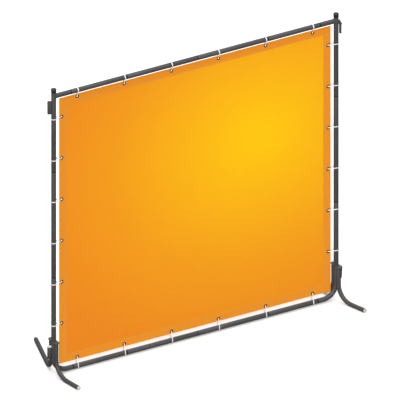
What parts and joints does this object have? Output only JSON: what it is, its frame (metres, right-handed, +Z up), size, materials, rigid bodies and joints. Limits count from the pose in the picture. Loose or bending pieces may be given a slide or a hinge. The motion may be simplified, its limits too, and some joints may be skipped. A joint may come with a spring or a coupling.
{
  "type": "welding curtain screen",
  "caption": "Free-standing welding screen: slip-together round tube frame, tied translucent orange vinyl curtain, swivelling bent legs and linking pieces for a row of screens.",
  "frame": {"origin": "on the floor, midway between the two post axes, in the plane of the curtain", "axes": "+X along the screen towards the hook side, -Y the front, +Z up"},
  "size_m": [1.943, 0.6366, 1.8293],
  "materials": {
    "frame_paint": "satin black powder coat on steel tube",
    "leg_paint": "satin black powder coat on steel tube",
    "cap_plastic": "moulded black polyethylene",
    "nylon": "natural white nylon",
    "curtain_vinyl": "translucent orange flame-retardant vinyl film, glossy"
  },
  "bodies": {
    "frame": {"corner_tee_left": "frame_paint", "corner_tee_right": "frame_paint", "top_rail_1": "frame_paint", "top_rail_2": "frame_paint", "top_rail_3": "frame_paint", "top_rail_4": "frame_paint", "bottom_rail_1": "frame_paint", "bottom_rail_2": "frame_paint", "bottom_rail_3": "frame_paint", "bottom_rail_4": "frame_paint", "post_mid_left": "frame_paint", "post_mid_right": "frame_paint", "post_low_left": "frame_paint", "post_low_right": "frame_paint", "elbow_left": "frame_paint", "elbow_right": "frame_paint", "post_cap_left": "cap_plastic", "post_cap_right": "cap_plastic", "leg_yoke_left": "frame_paint", "leg_yoke_right": "frame_paint", "upper_link_sleeve": "frame_paint", "lower_link_sleeve": "frame_paint", "lower_sleeve_bush": "nylon", "upper_link_hook": "frame_paint", "lower_link_cup": "frame_paint", "lower_cup_bush": "nylon", "curtain": "curtain_vinyl", "tie_top_1": "nylon", "tie_top_2": "nylon", "tie_top_3": "nylon", "tie_top_4": "nylon", "tie_top_5": "nylon", "tie_top_6": "nylon", "tie_bottom_1": "nylon", "tie_bottom_2": "nylon", "tie_bottom_3": "nylon", "tie_bottom_4": "nylon", "tie_bottom_5": "nylon", "tie_bottom_6": "nylon", "tie_left_1": "nylon", "tie_left_2": "nylon", "tie_left_3": "nylon", "tie_left_4": "nylon", "tie_left_5": "nylon", "tie_left_6": "nylon", "tie_right_1": "nylon", "tie_right_2": "nylon", "tie_right_3": "nylon", "tie_right_4": "nylon", "tie_right_5": "nylon", "tie_right_6": "nylon"},
    "leg_front_left": {"front_leg_left": "leg_paint", "front_plug_left": "nylon"},
    "leg_front_right": {"front_leg_right": "leg_paint", "front_plug_right": "nylon"},
    "leg_back_left": {"back_leg_left": "leg_paint", "back_plug_left": "nylon"},
    "leg_back_right": {"back_leg_right": "leg_paint", "back_plug_right": "nylon"}
  },
  "joints": [
    {"name": "leg_front_left_swivel", "type": "hinge", "parent": "frame", "child": "leg_front_left", "pos_m": [-0.9144, -0.03, 0.2146], "axis": [0, 0, 1], "range_deg": [-54.5, 80.5]},
    {"name": "leg_front_right_swivel", "type": "hinge", "parent": "frame", "child": "leg_front_right", "pos_m": [0.9144, -0.03, 0.2146], "axis": [0, 0, 1], "range_deg": [-108, 27]},
    {"name": "leg_back_left_swivel", "type": "hinge", "parent": "frame", "child": "leg_back_left", "pos_m": [-0.9144, 0.03, 0.2146], "axis": [0, 0, 1], "range_deg": [-73.5, 61.5]},
    {"name": "leg_back_right_swivel", "type": "hinge", "parent": "frame", "child": "leg_back_right", "pos_m": [0.9144, 0.03, 0.2146], "axis": [0, 0, 1], "range_deg": [-61.5, 73.5]}
  ]
}
